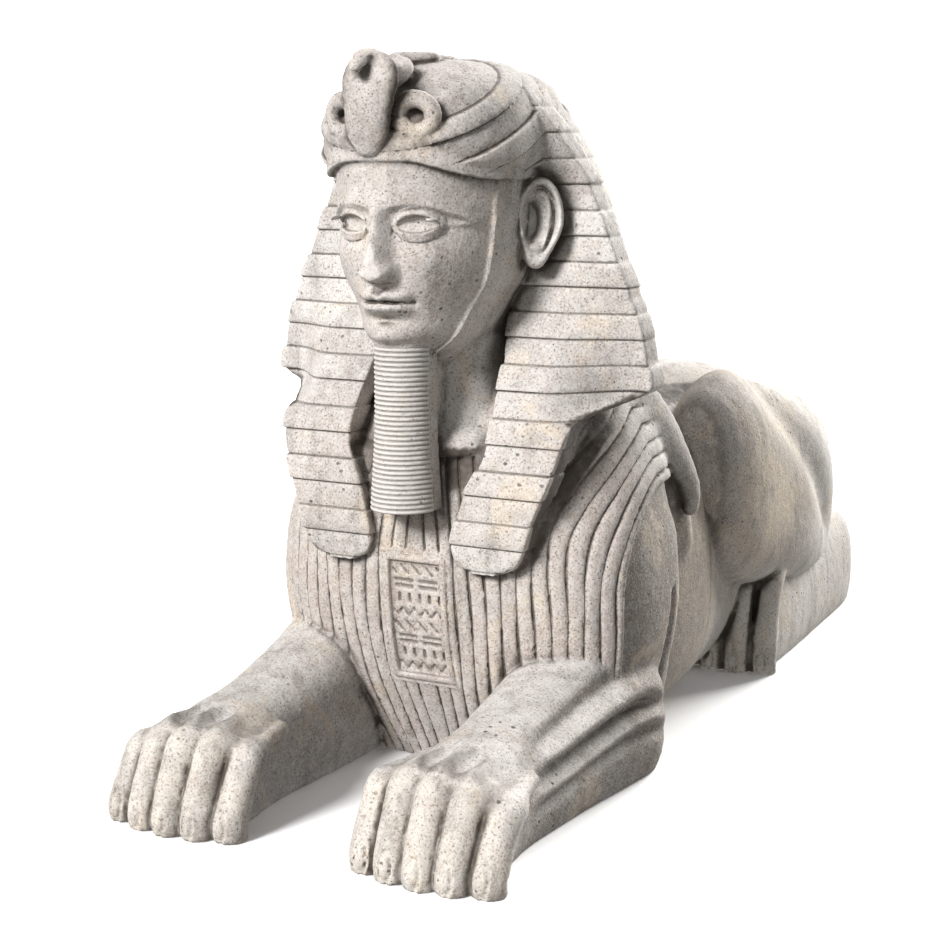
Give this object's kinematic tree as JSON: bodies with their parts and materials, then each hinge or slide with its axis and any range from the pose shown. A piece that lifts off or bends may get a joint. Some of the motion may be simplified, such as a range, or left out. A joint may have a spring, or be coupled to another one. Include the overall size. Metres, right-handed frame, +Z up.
{
  "type": "sphinx statue",
  "caption": "Cast stone sphinx lying on its belly: a lion's body with a crowned human head, a striped headdress and a ringed beard.",
  "frame": {"origin": "ground level under the middle of the statue's bounding box", "axes": "+Z up, the sphinx faces -Y, its own left side is +X"},
  "size_m": [0.465, 1.3539, 0.79],
  "materials": {
    "cast_stone": "matt"
  },
  "bodies": {
    "root": {"sphinx": "cast_stone"}
  },
  "joints": []
}
